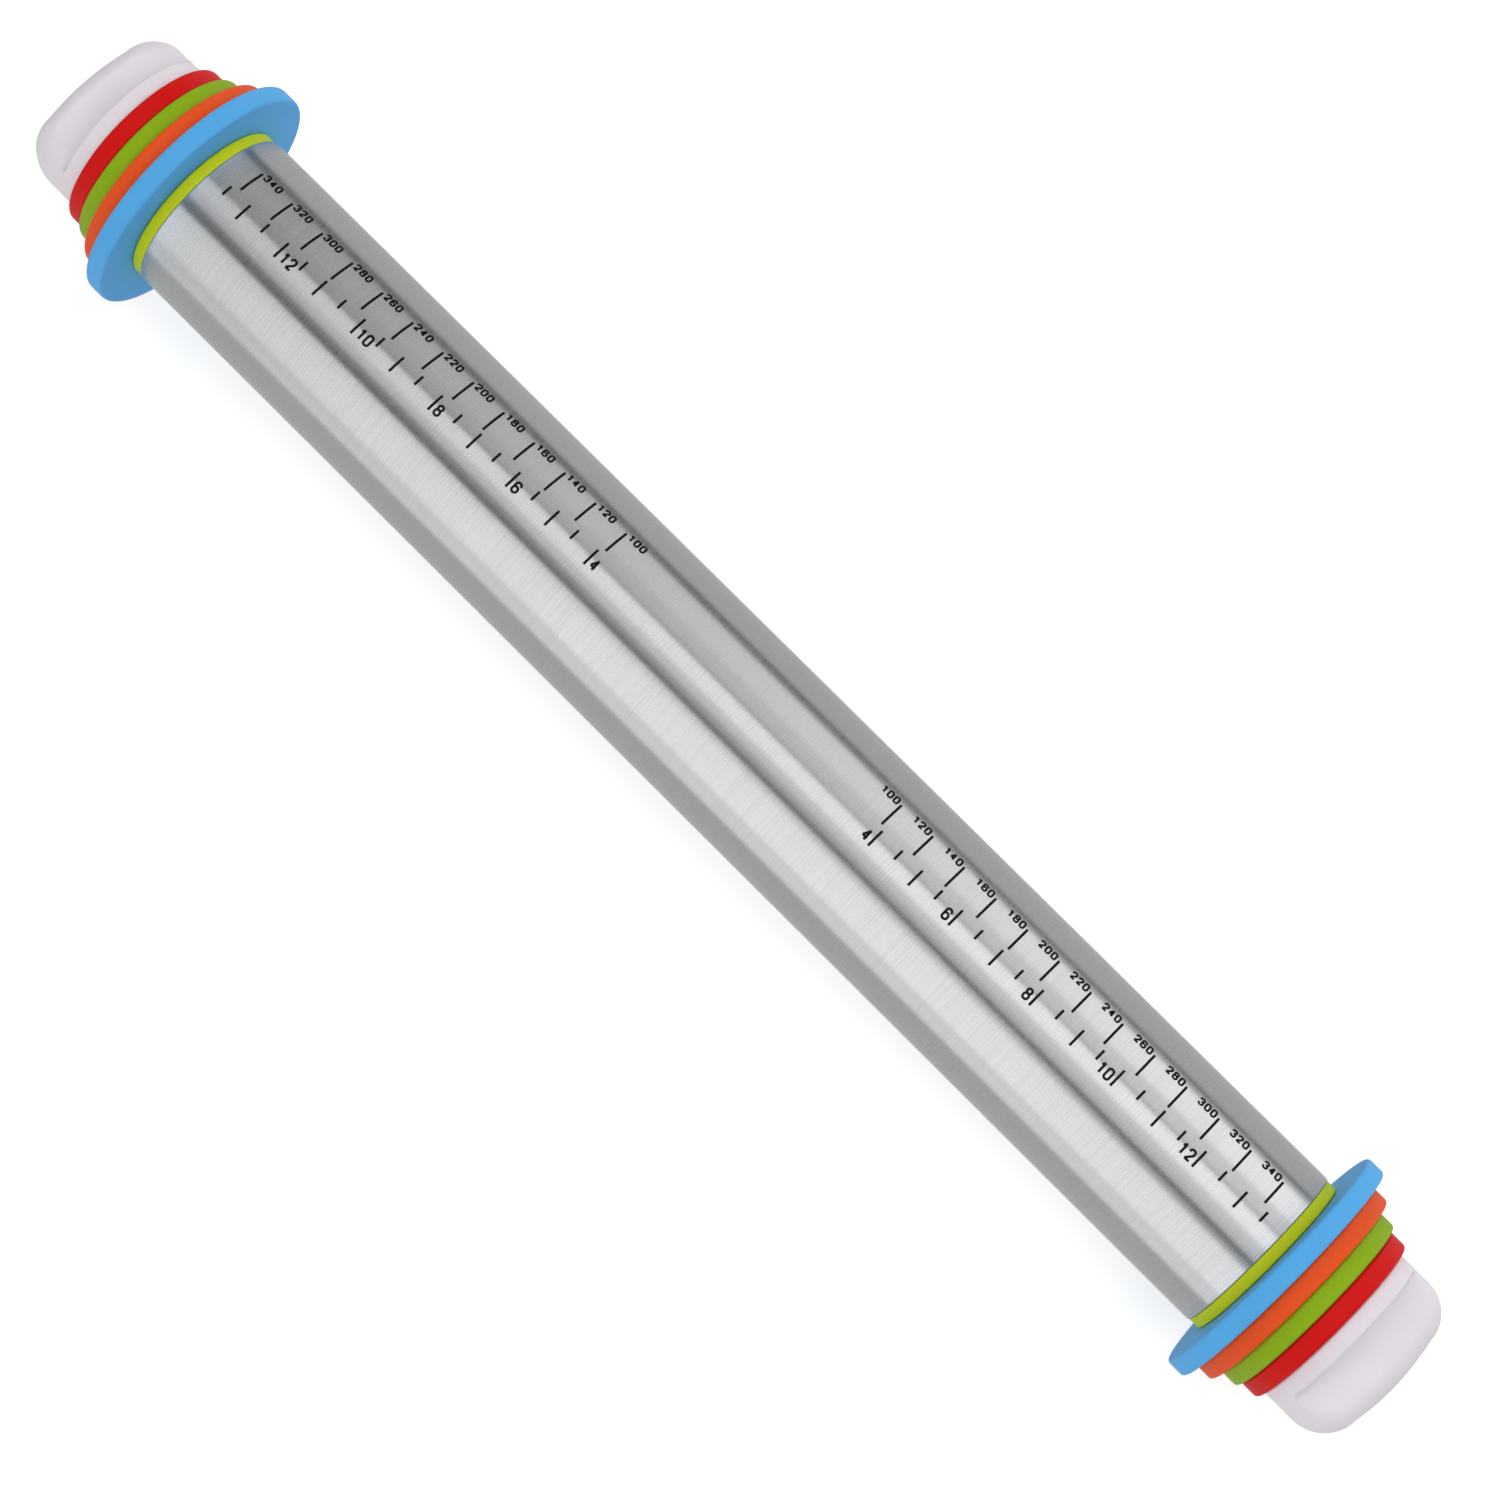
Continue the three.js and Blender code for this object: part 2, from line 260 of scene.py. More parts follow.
LIME = moulded_plastic("lime_moulded_abs", "#CCD61E", 0.5)
BLUE = moulded_plastic("blue_moulded_abs", "#56ADEB", 0.5)
ORANGE = moulded_plastic("orange_moulded_abs", "#EE5420", 0.5)
GREEN = moulded_plastic("green_moulded_abs", "#8AB212", 0.5)
RED = moulded_plastic("red_moulded_abs", "#D40E0C", 0.5)
WHITE = moulded_plastic("white_moulded_polypropylene", "#E6E1E7", 0.38, glow=0.12)
print("made six moulded plastics")

# %% [markdown]
# ### Ink, rubber and the screws' steel
#
# The ruler is pad-printed in black, which dries to a thin film with little gloss. The
# plug's seal is a cord of black silicone rubber, matt with a trace of dust. The stud's
# screw is turned from stainless steel, so its fine grooves are rings, too small to see
# one by one.

# %% Ink, rubber and turned steel
PLAIN_TONE = 0.12


def plain_finish(name, colour, grain, relief, **settings):
    """A finish with one size of grain, in metres, in its tone and its relief."""
    finish, tree, shader = new_finish(name, **settings)
    where = add_node(tree, "ShaderNodeTexCoord").outputs["Object"]
    sockets = {"Vector": where, "Scale": 1 / grain, "Detail": 2}
    noise = add_node(tree, "ShaderNodeTexNoise", sockets).outputs["Fac"]
    dark, light = shades(linear(colour), PLAIN_TONE)
    paint = add_node(tree, "ShaderNodeMix", {0: noise, 6: dark, 7: light}, data_type="RGBA")
    tree.links.new(paint.outputs[2], shader.inputs["Base Color"])
    bump = add_node(tree, "ShaderNodeBump", {"Height": noise, "Distance": relief})
    tree.links.new(bump.outputs[0], shader.inputs["Normal"])
    return finish


INK = plain_finish(
    "black_printed_ink", "#08080A", 0.3 * MM, 0.003 * MM, Roughness=0.5, Specular_IOR_Level=0.15
)
RUBBER = plain_finish("black_silicone_rubber", "#262628", 0.2 * MM, 0.01 * MM, Roughness=0.6)
SCREW_STEEL = plain_finish(
    "turned_stainless_steel", "#B9BBBE", 0.15 * MM, 0.004 * MM, Roughness=0.3, Metallic=1
)
print("made the ink, the rubber and the screws' steel")

# %% [markdown]
# ## Surfaces round the axis
#
# Nearly every piece of the pin is round, so one function makes them all. It takes a grid
# of places along the axis and a grid of radii. Where the radius is the same all the way
# round, the piece is turned; where it changes with the angle, the piece gets a thread,
# a hexagon or ribs. Blender's Screw modifier could turn a profile as well, but it can't
# change the radius on the way round.

# %% A closed surface round the axis
SHARP_ANGLE = math.radians(50)


def angles(columns):
    """The columns' angles, from +Y towards +Z."""
    return np.arange(columns) * 2 * np.pi / columns


def surface_mesh(name, along, radius, poles=None):
    """A closed mesh round the axis. The point of row i, column j lies along[i, j] on the
    axis and radius[i, j] from it. The last row meets the first one, or each end of the
    rows runs to a pole on the axis. The outer wall is passed towards +X."""
    along, radius = np.broadcast_arrays(along, radius)
    rows, columns = radius.shape
    turn = angles(columns)
    points = np.stack([along, radius * np.cos(turn), radius * np.sin(turn)], axis=-1)
    points = points.reshape(-1, 3)
    index = np.arange(rows * columns).reshape(rows, columns)
    if poles is None:
        index = np.vstack([index, index[:1]])
    here, there = index[:-1], index[1:]
    corners = [here, np.roll(here, -1, axis=1), np.roll(there, -1, axis=1), there]
    faces = np.stack(corners, axis=-1).reshape(-1, 4).tolist()
    if poles is not None:
        points = np.vstack([points, [[poles[0], 0, 0], [poles[1], 0, 0]]])
        first = np.full(columns, rows * columns)
        inner, outer = index[0], index[-1]
        faces += np.stack([first, np.roll(inner, -1), inner], axis=1).tolist()
        faces += np.stack([outer, np.roll(outer, -1), first + 1], axis=1).tolist()
    mesh = bpy.data.meshes.new(name)
    mesh.from_pydata(points, [], faces)
    return mesh


print("edges of more than", round(math.degrees(SHARP_ANGLE)), "degrees will be shaded sharp")

# %% [markdown]
# A mesh is made in millimetres, with its x measured outwards from the end of the tube.
# It is then brought to its end of the pin: the left end is the right one turned half
# round, not mirrored, because both ends have a right-handed thread. Both ends are also
# turned by one flat about the pin's axis, as in the photograph, where the grips don't lie
# level. The place goes into the mesh, so the object itself stays at the origin.

# %% Bring a mesh to its place
MIDDLE = Matrix.Scale(MM, 4) @ Matrix.Translation((0, 0, AXIS_HEIGHT))
ONE_FLAT = Matrix.Rotation(-2 * math.pi / FLATS, 4, "X")
HALF_ROUND = Matrix.Rotation(math.pi, 4, "Z")
OUT = Matrix.Translation((TUBE_END, 0, 0))
PLACES = {
    "middle": MIDDLE,
    "right": MIDDLE @ ONE_FLAT @ OUT,
    "left": MIDDLE @ ONE_FLAT @ HALF_ROUND @ OUT,
}


def add_piece(mesh, place, body, nodes, finish):
    """Places a mesh, shades it, and lets it ride on a body instead of the plain nodes."""
    mesh.transform(PLACES[place])
    mesh.shade_smooth()
    mesh.set_sharp_from_angle(angle=SHARP_ANGLE)
    mesh.materials.append(finish)
    piece = bpy.data.objects.new(mesh.name, mesh)
    bpy.context.collection.objects.link(piece)
    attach(piece, body)
    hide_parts(*nodes)
    print(piece.name, "has", len(mesh.polygons), "faces")


print(f"the ends are turned by one flat, {360 / FLATS:.1f} degrees")

# %% [markdown]
# Real edges are never sharp. A profile is written as corners, each with a rounding, and
# this function puts an arc in each corner. A point close to each side of an arc keeps
# the arc's soft shading off the flat faces beside it.

# %% Round a profile's corners
ARC_STEPS = 6
GUARD = 0.12


def rounded(corners, loop=False):
    """Points (along, radius) through corners (along, radius, rounding). A corner's arc
    touches both of its sides. Its centre lies on the line that halves the corner."""
    places = np.array([place for *place, _ in corners], float)
    points = []
    for i, (place, (_, _, rounding)) in enumerate(zip(places, corners)):
        inside = loop or 0 < i < len(corners) - 1
        if not inside or rounding == 0:
            points.append(place)
            continue
        before = places[i - 1] - place
        after = places[(i + 1) % len(places)] - place
        room = min(np.hypot(*before), np.hypot(*after)) / 2
        before, after = before / np.hypot(*before), after / np.hypot(*after)
        half = math.acos(np.clip(before @ after, -1, 1)) / 2
        reach = rounding / math.tan(half)
        inwards = (before + after) / np.hypot(*(before + after))
        centre = place + inwards * rounding / math.sin(half)
        start, stop = place + before * reach - centre, place + after * reach - centre
        share = np.linspace(0, 1, ARC_STEPS + 1)[:, None]
        sweep = math.pi - 2 * half
        arc = np.sin((1 - share) * sweep) * start + np.sin(share * sweep) * stop
        guard = reach + np.clip((room - reach) / 2, 0, GUARD)
        points += [place + before * guard, *(centre + arc / math.sin(sweep)), place + after * guard]
    return np.array(points)


square_corner = rounded([(0, 0, 0), (1, 0, 0.2), (1, 1, 0)])
print("a rounded corner has", len(square_corner) - 2, "points")

# %% [markdown]
# ## The roller tube
#
# The tube is 344 mm long with a wall of 1 mm. Its profile is a closed loop: outer wall,
# end, bore, end. The ends are deburred, so their edges have a radius of a quarter of a
# millimetre.

# %% The roller tube
TUBE_WALL = 1.0
TUBE_EDGE = 0.25
TUBE_COLUMNS = 288

tube_bore = TUBE_RADIUS - TUBE_WALL
tube_profile = rounded([
    (-TUBE_END, tube_bore, TUBE_EDGE),
    (-TUBE_END, TUBE_RADIUS, TUBE_EDGE),
    (TUBE_END, TUBE_RADIUS, TUBE_EDGE),
    (TUBE_END, tube_bore, TUBE_EDGE),
], loop=True)
tube_radii = np.repeat(tube_profile[:, 1:], TUBE_COLUMNS, axis=1)
tube_mesh = surface_mesh("steel_tube", tube_profile[:, :1], tube_radii)
add_piece(tube_mesh, "middle", "roller", ["roller_tube"], STEEL)

# %% [markdown]
# ## The printed ruler
#
# Two rulers are printed on the tube, mirrored about its middle. The upper row has a
# mark every 20 mm of dough width, from 100 to 340, and the lower row has one every half
# inch, from 4 to 13.5. Each row is printed a little nearer to the middle than half of
# the width that it names, and the shifts below follow that. A texture could draw the
# marks, but its edges would blur, so the ink is a real film, 0.03 mm proud of the steel.
# Heights are measured round the tube from its top towards +Y, so they are arcs.

# %% The ruler's sizes
INCH = 25.4
MM_SHIFT = 5.7
INCH_SHIFT = 5.2
INK_PROUD = 0.03
INK_SUNK = 0.03

MM_MARKS = np.arange(100, 341, 20)
MM_MARK_LOW = 8.6
MM_MARK_TOP = 16.0
MM_MARK_WIDTH = 0.64
MM_DIGIT = (1.62, 2.4)
MM_DIGIT_GAP = 0.25
MM_DIGIT_STROKE = 0.54
MM_DIGIT_ROUNDING = 0.42
MM_NUMBER_GAP = 0.8

INCH_MARKS = np.arange(4, 13.6, 0.5)
INCH_MARK_TOP = 7.6
INCH_MARK_LONG = 4.85
INCH_MARK_SHORT = 2.9
INCH_MARK_WIDTH = 0.64
INCH_NUMBERS = (4, 6, 8, 10, 12)
INCH_DIGIT = (1.95, 3.3)
INCH_DIGIT_GAP = 0.3
INCH_DIGIT_STROKE = 0.6
INCH_DIGIT_ROUNDING = 0.6
INCH_NUMBER_GAP = 1.0


def mm_place(width):
    """How far a millimetre mark for this width stands from the middle of the tube."""
    return width / 2 - MM_SHIFT


def inch_place(width):
    """How far an inch mark for this width stands from the middle of the tube."""
    return width * INCH / 2 - INCH_SHIFT


print("340 stands", mm_place(340), "mm from the middle, the tube ends at", round(TUBE_END, 1))

# %% [markdown]
# Blender's own text has thin, round digits, and the printed ones are bold and squarish,
# so the digits are drawn as strokes: paths through corners in a box that is 1 wide and 1
# high, with their corners rounded. A mark is a stroke as well, of two points.

# %% The digits as strokes
# Each stroke is a list of corners, True where it runs back to its start.
DIGITS = {
    "0": [([(0, 0), (1, 0), (1, 1), (0, 1)], True)],
    "1": [([(0.2, 0.72), (0.65, 1)], False), ([(0.65, 1), (0.65, 0)], False)],
    "2": [([(0, 0.7), (0, 1), (1, 1), (1, 0.6), (0, 0)], False), ([(0, 0), (1, 0)], False)],
    "3": [([(0, 0.72), (0, 1), (1, 1), (1, 0.53), (0.4, 0.53)], False),
          ([(0.4, 0.53), (1, 0.53), (1, 0), (0, 0), (0, 0.28)], False)],
    "4": [([(0.7, 0), (0.7, 1)], False), ([(0.7, 1), (0, 0.28)], False),
          ([(0, 0.28), (1, 0.28)], False)],
    "6": [([(1, 0.72), (1, 1), (0, 1), (0, 0), (1, 0), (1, 0.56), (0, 0.56)], False)],
    "8": [([(0, 0), (1, 0), (1, 0.53), (0, 0.53)], True),
          ([(0.05, 0.53), (0.95, 0.53), (0.95, 1), (0.05, 1)], True)],
}
print("the digits that the ruler needs:", " ".join(DIGITS))

# %% [markdown]
# A stroke is a flat bar that follows its path, with four corners to each cross-section.
# Its points are close enough together for the bar to bend with the tube when it is
# wrapped round it. A flat curve with a bevel would give the same bar, but not this
# control over where its points are.

# %% One stroke of ink
STEP = 0.3
SAME_PLACE = 0.001


def resampled(path):
    """The same path without repeated points and with no step longer than STEP."""
    lengths = np.hypot(*np.diff(path, axis=0).T)
    path = path[np.append(True, lengths > SAME_PLACE)]
    lengths = lengths[lengths > SAME_PLACE]
    total = np.concatenate([[0], np.cumsum(lengths)])
    steps = np.ceil(lengths / STEP).astype(int)
    between = [np.linspace(a, b, n, endpoint=False) for a, b, n in zip(total, total[1:], steps)]
    places = np.append(np.concatenate(between), total[-1])
    return np.stack([np.interp(places, total, path[:, i]) for i in (0, 1)], axis=1)


def ink_stroke(corners, width, loop=False, rounding=0.0):
    """A closed band of ink along flat corners, as points (x, arc, height) and faces. Each
    cross-section is four points, half the width to each side of the path."""
    path = rounded([(*corner, rounding) for corner in corners], loop)
    if loop:
        path = np.vstack([path, path[:1]])
    path = resampled(path)
    if loop:
        path = path[:-1]
        forward = np.roll(path, -1, axis=0) - np.roll(path, 1, axis=0)
    else:
        forward = np.gradient(path, axis=0)
    forward /= np.hypot(*forward.T)[:, None]
    aside = np.stack([forward[:, 1], -forward[:, 0]], axis=1) * width / 2
    low, high = np.full((len(path), 1), -INK_SUNK), np.full((len(path), 1), INK_PROUD)
    left, right = path - aside, path + aside
    section = [(left, low), (right, low), (right, high), (left, high)]
    points = np.stack([np.hstack(pair) for pair in section], axis=1)
    index = np.arange(len(path) * 4).reshape(-1, 4)
    here, there = (index, np.roll(index, -1, axis=0)) if loop else (index[:-1], index[1:])
    around = [here, there, np.roll(there, -1, axis=1), np.roll(here, -1, axis=1)]
    faces = np.stack(around, axis=-1).reshape(-1, 4).tolist()
    if not loop:
        faces += [index[0].tolist(), index[-1, ::-1].tolist()]
    return points.reshape(-1, 3), faces


mark_points, mark_faces = ink_stroke([(0, MM_MARK_LOW), (0, MM_MARK_TOP)], MM_MARK_WIDTH)
print("a millimetre mark has", len(mark_points), "points and", len(mark_faces), "faces")

# %% A number beside its mark
def ink_number(words, place, side, gap, arc, size, digit_gap, stroke, rounding):
    """The strokes of a number that stands at arc, beside the mark at place, on the side
    towards the middle of the tube."""
    wide, high = size
    pitch = wide + digit_gap
    length = len(words) * pitch - digit_gap
    start = place + gap if side < 0 else place - gap - length
    inner = np.array([wide - stroke, high - stroke])
    for i, digit in enumerate(words):
        corner = np.array([start + i * pitch + stroke / 2, arc + stroke / 2])
        for corners, loop in DIGITS[digit]:
            yield ink_stroke(np.array(corners) * inner + corner, stroke, loop, rounding)


sample = ink_number("340", 0, 1, 0, 0, MM_DIGIT, MM_DIGIT_GAP, MM_DIGIT_STROKE, MM_DIGIT_ROUNDING)
print("the number 340 takes", len(list(sample)), "strokes")

# %% Wrap the ink round the tube
def wrap_round_tube(flat):
    """Points (x, arc, height) as points on the tube: the angle from its top is the arc
    over the radius, and the height is added to the radius."""
    x, arc, height = flat.T
    radius, turn = TUBE_RADIUS + height, arc / TUBE_RADIUS
    return np.stack([x, radius * np.sin(turn), radius * np.cos(turn)], axis=1)


def joined(name, parts):
    """Several sets of points and faces as one mesh."""
    points, faces, first = [], [], 0
    for part_points, part_faces in parts:
        points.append(part_points)
        faces += [[corner + first for corner in face] for face in part_faces]
        first += len(part_points)
    mesh = bpy.data.meshes.new(name)
    mesh.from_pydata(np.vstack(points), [], faces)
    return mesh


def add_ink(name, parts):
    """Puts strokes of ink on the tube."""
    wrapped = [(wrap_round_tube(points), faces) for points, faces in parts]
    add_piece(joined(name, wrapped), "middle", "roller", [], INK)


ruler_arc = MM_MARK_TOP - (INCH_MARK_TOP - INCH_MARK_LONG)
print("the ruler covers", round(math.degrees(ruler_arc / TUBE_RADIUS)), "degrees of the tube")

# %% Print the ruler
marks, numbers = [], []
for side in (-1, 1):
    for width in MM_MARKS:
        x = side * mm_place(width)
        marks.append(ink_stroke([(x, MM_MARK_LOW), (x, MM_MARK_TOP)], MM_MARK_WIDTH))
        numbers += ink_number(
            str(width), x, side, MM_NUMBER_GAP, MM_MARK_TOP - MM_DIGIT[1] / 2,
            MM_DIGIT, MM_DIGIT_GAP, MM_DIGIT_STROKE, MM_DIGIT_ROUNDING,
        )
    for width in INCH_MARKS:
        x = side * inch_place(width)
        low = INCH_MARK_TOP - (INCH_MARK_LONG if width % 1 == 0 else INCH_MARK_SHORT)
        marks.append(ink_stroke([(x, low), (x, INCH_MARK_TOP)], INCH_MARK_WIDTH))
    for width in INCH_NUMBERS:
        x, low = side * inch_place(width), INCH_MARK_TOP - INCH_MARK_LONG
        numbers += ink_number(
            str(width), x, side, INCH_NUMBER_GAP, low,
            INCH_DIGIT, INCH_DIGIT_GAP, INCH_DIGIT_STROKE, INCH_DIGIT_ROUNDING,
        )
add_ink("ruler_marks", marks)
add_ink("ruler_numbers", numbers)

# %% [markdown]
# ## The spacer rings
#
# Each ring is a flat washer with rounded rims. Its size is moulded into both faces, in
# millimetres on the outer one and in inches on the inner one, and the outer face has
# the three round marks of the pins that push it out of the mould. The marks follow no
# grid, so they are cut with a Boolean modifier, which is then applied. Its cutters are
# slabs of Blender's own text, whose thin round digits look like moulded ones, and rods.

# %% Text as a flat slab
TEXT_STEPS = 8
MERGE = 0.0005


def text_slab(words):
    """Words as points and faces of a closed slab about the origin. It is 1 thick, half to
    each side, and its digits are as high as the font has them."""
    curve = bpy.data.curves.new(words, "FONT")
    curve.body = words
    curve.resolution_u = TEXT_STEPS
    curve.extrude = 0.5
    writing = bpy.data.objects.new(words, curve)
    mesh = bpy.data.meshes.new_from_object(writing)
    bpy.data.objects.remove(writing)
    slab = bmesh.new()
    slab.from_mesh(mesh)
    bpy.data.meshes.remove(mesh)
    bmesh.ops.remove_doubles(slab, verts=slab.verts, dist=MERGE)
    bmesh.ops.recalc_face_normals(slab, faces=slab.faces)
    slab.verts.index_update()
    points = np.array([v.co for v in slab.verts])
    faces = [[v.index for v in face.verts] for face in slab.faces]
    slab.free()
    return points - (points.min(axis=0) + points.max(axis=0)) / 2, faces


DIGIT_HEIGHT = np.ptp(text_slab("0")[0][:, 1])
print(f"the font's digits are {DIGIT_HEIGHT:.3f} high at size 1")

# %% A ring's moulded marks
MARK_HEIGHT = 7.0
MARK_DEPTH = 0.35
MARK_CENTRE = 16.0
PIN_RADIUS = 1.45
PIN_COLUMNS = 24
PIN_PLACE = 12.6
PIN_DEPTH = 0.15
PIN_ANGLES = np.radians([30, 150, 270])
OVERRUN = 0.2


def face_words(words, face, outward):
    """Words as a slab that is sunk in a ring's face at x = face, their tops towards +Z."""
    points, faces = text_slab(words)
    points[:, :2] *= MARK_HEIGHT / DIGIT_HEIGHT
    across, up, deep = points.T
    x = face + outward * (deep * (MARK_DEPTH + OVERRUN) + (OVERRUN - MARK_DEPTH) / 2)
    return np.stack([x, outward * across, up + MARK_CENTRE], axis=1), faces


def pin_marks(face):
    """The marks of the pins, each as points and faces of a rod sunk in a ring's face."""
    turn = angles(PIN_COLUMNS)
    rim = np.stack([0 * turn, PIN_RADIUS * np.cos(turn), PIN_RADIUS * np.sin(turn)], axis=1)
    low = np.arange(PIN_COLUMNS)
    high = low + PIN_COLUMNS
    faces = np.stack([low, np.roll(low, -1), np.roll(high, -1), high], axis=1).tolist()
    faces += [low[::-1].tolist(), high.tolist()]
    for place in PIN_ANGLES:
        centre = np.array([0, PIN_PLACE * math.cos(place), PIN_PLACE * math.sin(place)])
        ends = [rim + centre + (x, 0, 0) for x in (face - PIN_DEPTH, face + OVERRUN)]
        yield np.vstack(ends), faces


print("the numbers are", MARK_HEIGHT, "mm high and", MARK_DEPTH, "mm deep")

# %% Cut one mesh with another
def cut(mesh, cutter):
    """The mesh less the cutter, as a new mesh with the same name."""
    solid = bpy.data.objects.new("solid", mesh)
    tool = bpy.data.objects.new("tool", cutter)
    for thing in (solid, tool):
        bpy.context.collection.objects.link(thing)
    boolean = solid.modifiers.new("cut", "BOOLEAN")
    boolean.object = tool
    boolean.operation = "DIFFERENCE"
    boolean.solver = "MANIFOLD"
    graph = bpy.context.evaluated_depsgraph_get()
    made = bpy.data.meshes.new_from_object(solid.evaluated_get(graph))
    name, before = mesh.name, len(mesh.polygons)
    for thing in (solid, tool):
        bpy.data.objects.remove(thing)
    bpy.data.meshes.remove(mesh)
    bpy.data.meshes.remove(cutter)
    made.materials.clear()
    made.name = name
    print("cutting", name, "took it from", before, "to", len(made.polygons), "faces")
    return made


# %% The spacer rings
RING_EDGE = 0.8
RING_BORE_EDGE = 0.3
RING_BORE = 9.7
RING_COLUMNS = 240
RINGS = [
    ("10mm", "3/8\"", "blue", BLUE),
    ("6mm", "1/4\"", "orange", ORANGE),
    ("3mm", "1/8\"", "green", GREEN),
    ("2mm", "1/16\"", "red", RED),
]


def ring_mesh(name, node, metric, imperial):
    """A ring with rounded rims and its size cut in both faces."""
    start, stop = span_of(node)
    rim = radius_of(node)
    profile = rounded([
        (start, RING_BORE, RING_BORE_EDGE),
        (start, rim, RING_EDGE),
        (stop, rim, RING_EDGE),
        (stop, RING_BORE, RING_BORE_EDGE),
    ], loop=True)
    mesh = surface_mesh(name, profile[:, :1], np.repeat(profile[:, 1:], RING_COLUMNS, axis=1))
    marks = [face_words(metric, stop, 1), face_words(imperial, start, -1), *pin_marks(stop)]
    return cut(mesh, joined("marks", marks))


for size, imperial, colour, finish in RINGS:
    for side in SIDES:
        mesh = ring_mesh(f"{colour}_ring_{side}", f"ring_{size}_right", size, imperial)
        body, node = f"spacer_{size}_{side}", f"ring_{size}_{side}"
        add_piece(mesh, side, body, [node], finish)

# %% [markdown]
# ## The screw thread
#
# The handle's stud and the socket of the plug share a coarse thread with a pitch of
# 5 mm. A thread is a radius that depends on the place along the axis and on the angle:
# the ridge climbs one pitch a turn. Its flanks are eased, as on any moulded thread.

# %% The thread's radius
PITCH = 5.0
STUD_RADIUS = 9.4
THREAD_DEPTH = 1.5
CREST_SHARE = 0.26
FLANK_SHARE = 0.1
THREAD_GAP = 0.3
THREAD_ROW = 0.16
THREAD_COLUMNS = 144


def thread_radius(along, turn, gap=0.0):
    """The radius of a right-handed thread. Over one pitch it goes from the core up an
    eased flank to the crest and down again, and gap moves the whole surface outwards."""
    phase = along[:, None] / PITCH - turn / (2 * np.pi)
    from_crest = np.abs(phase - np.round(phase)) * PITCH
    half_crest = CREST_SHARE * PITCH / 2 + gap
    flank = FLANK_SHARE * PITCH
    rise = np.clip((half_crest + flank - from_crest) / flank, 0, 1)
    return STUD_RADIUS + gap - THREAD_DEPTH * (1 - rise * rise * (3 - 2 * rise))


def hexagon_radius(turn, corner_radius):
    """The radius of a hexagon with a corner at +Y: the distance to a side over the cosine
    of the angle from that side's middle."""
    sector = math.pi / 3
    off = (turn % sector) - sector / 2
    return corner_radius * math.cos(sector / 2) / np.cos(off)


print("the thread's core has a radius of", STUD_RADIUS - THREAD_DEPTH, "mm")

# %% [markdown]
# ## The end plugs
#
# A plug has a flange that closes the tube, a skirt that fits its bore, and a boss with
# the threaded socket. Six ribs tie the boss to the skirt. All of it is one grid: the
# profile runs from the closed end of the boss along its outside to the floor between
# boss and skirt, round the skirt and its seal groove, over the flange, and down the
# thread. The ribs are places where that floor rises to 15 mm, with the slight taper
# that lets a moulding leave its mould. Their number and sizes, like all that the tube
# hides, follow the usual way that such plugs are made.

# %% The plug's sizes
CAP_THICKNESS = 3.0
CAP_EDGE = 0.5
STACK_GAP = 0.1
SKIRT_LENGTH = 20.0
SKIRT_WALL = 3.2
SKIRT_LEAD = 0.8
SKIRT_GAP = 0.1
SOCKET_RELIEF = 0.3
NUT_LENGTH = 18.0
BOSS_WALL = 2.5
BOSS_END_WALL = 2.0
RIB_THICKNESS = 1.6
RIB_LENGTH = 15.0
RIB_TAPER = 0.5
RIB_COUNT = 6
FLOOR_ROWS = 8
SEAL_GROOVE = 2.5
SEAL_PLACE_SHARE = 0.7
SEAL_HEIGHT = 1.7
GROOVE_EDGE = 0.15
GROOVE_FILLET = 0.2
SEAT_EDGE = 0.1

CAP_FACE = STACK_GAP + CAP_THICKNESS
CAP_RADIUS = radius_of("end_plug_right")
SKIRT_RADIUS = TUBE_RADIUS - TUBE_WALL - SKIRT_GAP
SKIRT_INSIDE = SKIRT_RADIUS - SKIRT_WALL
SKIRT_END = STACK_GAP - SKIRT_LENGTH
PLUG_START = span_of("end_plug_right")[0]
print(f"the plug reaches {-PLUG_START:.1f} mm into the tube, its flange {CAP_FACE:.1f} mm out")

# %% The parts of a plug's profile
def ribbed_floor(turn, boss):
    """The floor between boss and skirt, as rows of places along the axis and their radii.
    It rises by the rib's length where the distance to a rib's middle line, which is the
    radius times the sine of the angle from it, is less than half of the rib."""
    radii = np.linspace(boss, SKIRT_INSIDE, FLOOR_ROWS)[:, None]
    rib_angle = 2 * math.pi / RIB_COUNT
    off = (turn + rib_angle / 2) % rib_angle - rib_angle / 2
    share = (RIB_THICKNESS / 2 + RIB_TAPER / 2 - np.abs(radii * np.sin(off))) / RIB_TAPER
    return STACK_GAP - RIB_LENGTH * np.clip(share, 0, 1), radii


def plug_outside():
    """The skirt with its lead and its seal groove, and the flange up to its outer face."""
    groove = STACK_GAP - SKIRT_LENGTH * SEAL_PLACE_SHARE
    groove_floor = TUBE_RADIUS - TUBE_WALL - SEAL_HEIGHT
    return rounded([
        (SKIRT_END, SKIRT_INSIDE, 0),
        (SKIRT_END, SKIRT_RADIUS - SKIRT_LEAD, 0),
        (SKIRT_END + SKIRT_LEAD, SKIRT_RADIUS, 0),
        (groove - SEAL_GROOVE / 2, SKIRT_RADIUS, GROOVE_EDGE),
        (groove - SEAL_GROOVE / 2, groove_floor, GROOVE_FILLET),
        (groove + SEAL_GROOVE / 2, groove_floor, GROOVE_FILLET),
        (groove + SEAL_GROOVE / 2, SKIRT_RADIUS, GROOVE_EDGE),
        (STACK_GAP, SKIRT_RADIUS, 0),
        (STACK_GAP, CAP_RADIUS, SEAT_EDGE),
        (CAP_FACE, CAP_RADIUS, CAP_EDGE),
        (CAP_FACE, CAP_RADIUS - 4 * CAP_EDGE, 0),
    ])


print("the outside of a plug has", len(plug_outside()), "rows")

